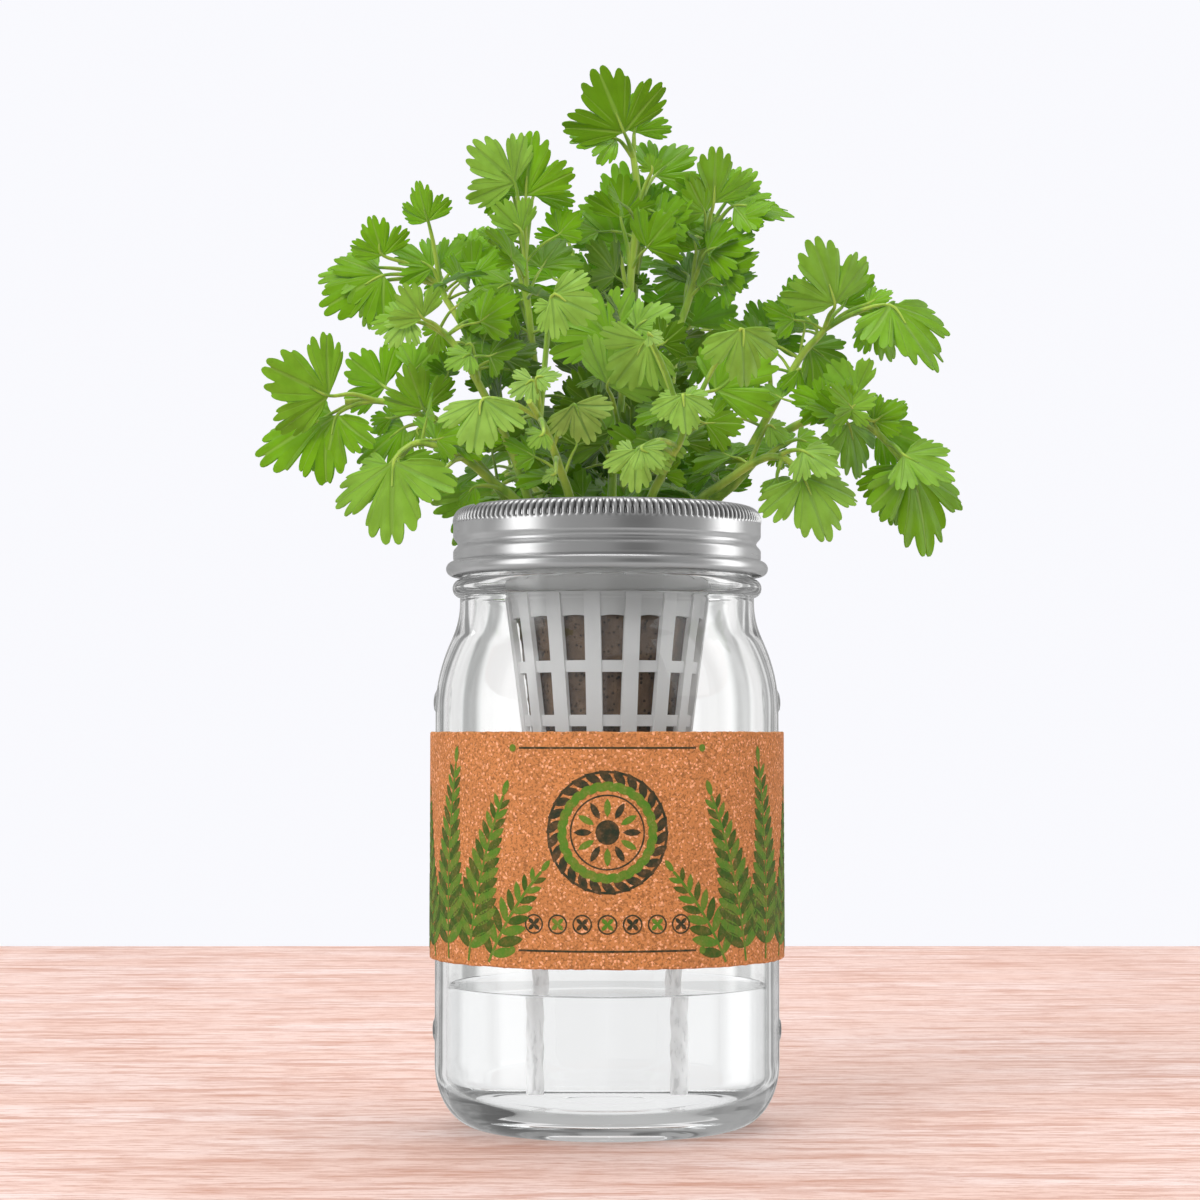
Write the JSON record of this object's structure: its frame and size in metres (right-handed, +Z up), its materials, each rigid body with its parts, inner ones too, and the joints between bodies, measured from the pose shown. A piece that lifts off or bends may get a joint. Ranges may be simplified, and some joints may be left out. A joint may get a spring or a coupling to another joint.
{
  "type": "hydroponic jar planter",
  "caption": "Glass jar with a tinplate screw band, a net cup that holds a coir grow plug and wicks over water, a printed cork sleeve and a growing coriander plant.",
  "frame": {"origin": "on the jar's axis, on the surface that the jar stands on", "axes": "+Z up along the jar's axis, +X to the right and +Y away from the viewer of the picture"},
  "size_m": [0.2043, 0.1376, 0.3044],
  "materials": {
    "jar_glass": "gloss",
    "cork": "matte",
    "water": "gloss",
    "tinplate": "satin",
    "white_plastic": "satin",
    "coir": "matte",
    "wick_yarn": "matte",
    "coriander": "satin"
  },
  "bodies": {
    "jar": {"glass_jar": "jar_glass", "cork_sleeve": "cork", "nutrient_water": "water"},
    "insert": {"net_cup": "white_plastic", "wick_left": "wick_yarn", "wick_right": "wick_yarn"},
    "band": {"screw_band": "tinplate"},
    "plant": {"grow_plug": "coir", "shoot_crown": "coriander", "shoot_crown_left": "coriander", "shoot_crown_right": "coriander", "shoot_left_high": "coriander", "shoot_left_mid": "coriander", "shoot_left_arm": "coriander", "shoot_left_low": "coriander", "shoot_right_high": "coriander", "shoot_right_arm": "coriander", "shoot_right_low": "coriander", "shoot_front_left": "coriander", "shoot_front_right": "coriander", "shoot_front_mid": "coriander", "shoot_back_left": "coriander", "shoot_back_right": "coriander", "shoot_back_arm": "coriander", "shoot_back_low": "coriander", "shoot_back_crown": "coriander"}
  },
  "joints": [
    {"name": "insert_lift", "type": "slide", "parent": "jar", "child": "insert", "axis": [0, 0, 1], "range_m": [0, 0.175]},
    {"name": "band_turn", "type": "hinge", "parent": "insert", "child": "band", "pos_m": [0, 0, 0.166], "axis": [0, 0, 1], "range_deg": [0, 450]},
    {"name": "plug_lift", "type": "slide", "parent": "insert", "child": "plant", "axis": [0, 0, 1], "range_m": [0, 0.095]}
  ]
}
